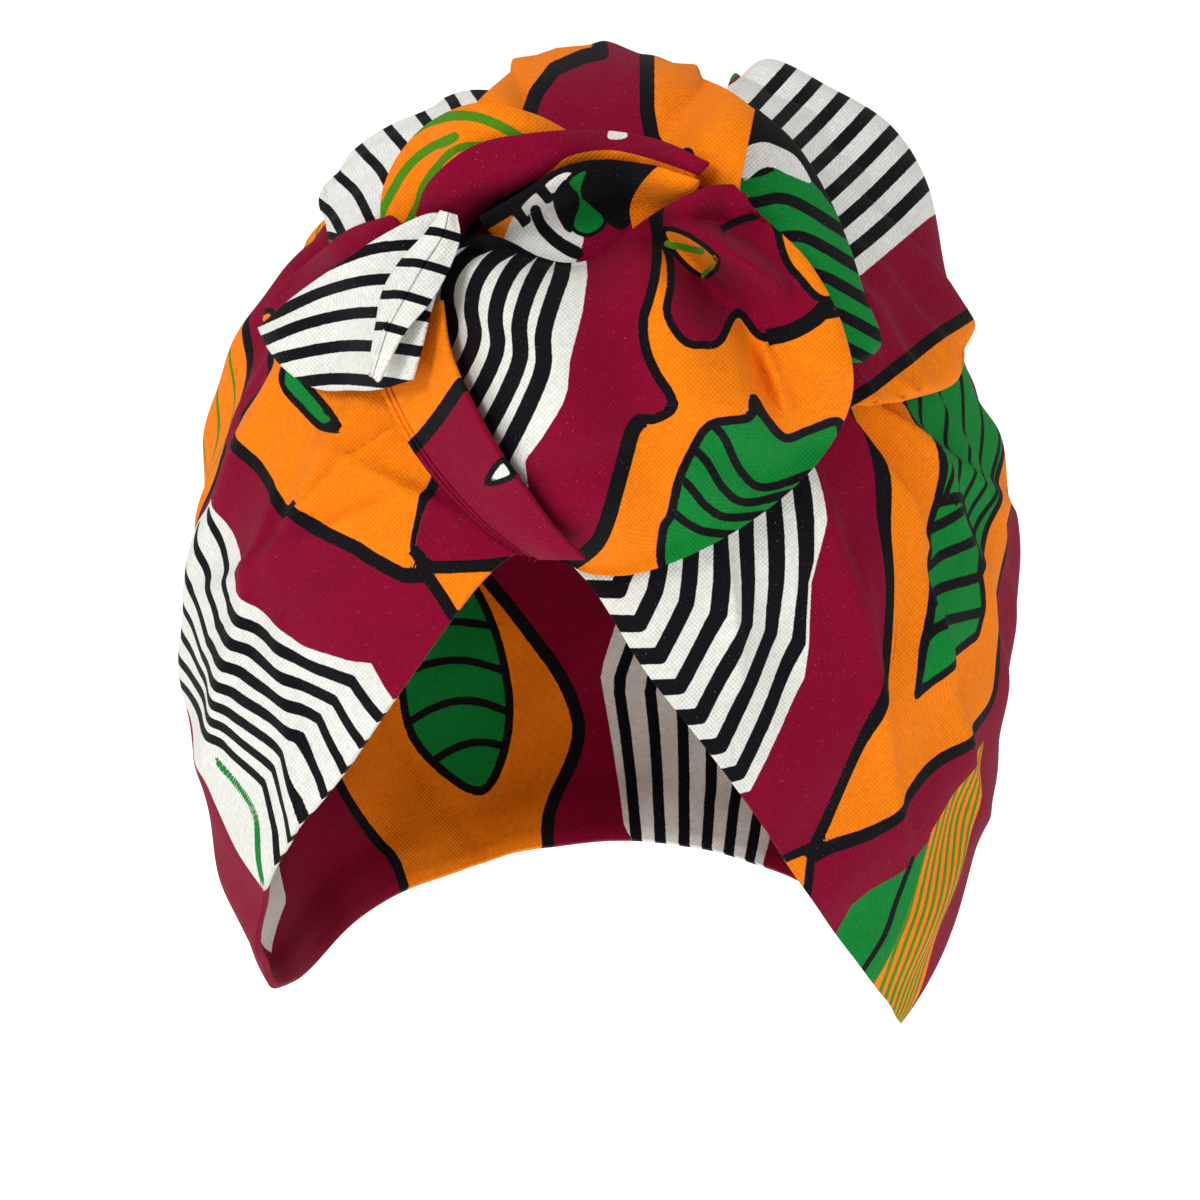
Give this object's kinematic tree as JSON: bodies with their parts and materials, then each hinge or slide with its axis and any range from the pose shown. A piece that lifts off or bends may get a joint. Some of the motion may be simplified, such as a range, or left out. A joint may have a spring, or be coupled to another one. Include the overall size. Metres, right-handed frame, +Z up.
{
  "type": "wired head wrap",
  "caption": "Knotted head wrap of printed cotton with wired hems: a fitted crown wrap and a rosette of loops and rolls over the forehead.",
  "frame": {"origin": "the point on the crown's underside where the top of the head carries the wrap", "axes": "+Z up, -Y towards the front where the rosette faces, +X to the right as seen from the front"},
  "size_m": [0.1638, 0.2061, 0.203],
  "materials": {
    "printed_cotton": "plain-woven cotton printed in burgundy, orange, green, white and black, matt with a faint sheen"
  },
  "bodies": {
    "root": {"crown_wrap": "printed_cotton", "back_left_loop": "printed_cotton", "back_right_loop": "printed_cotton", "right_loop": "printed_cotton", "top_roll": "printed_cotton", "left_swirl": "printed_cotton", "upper_roll": "printed_cotton", "core_twist": "printed_cotton", "front_lobe": "printed_cotton", "left_loop_back": "printed_cotton", "left_roll": "printed_cotton", "left_loop": "printed_cotton", "left_loop_hem": "printed_cotton"}
  },
  "joints": []
}
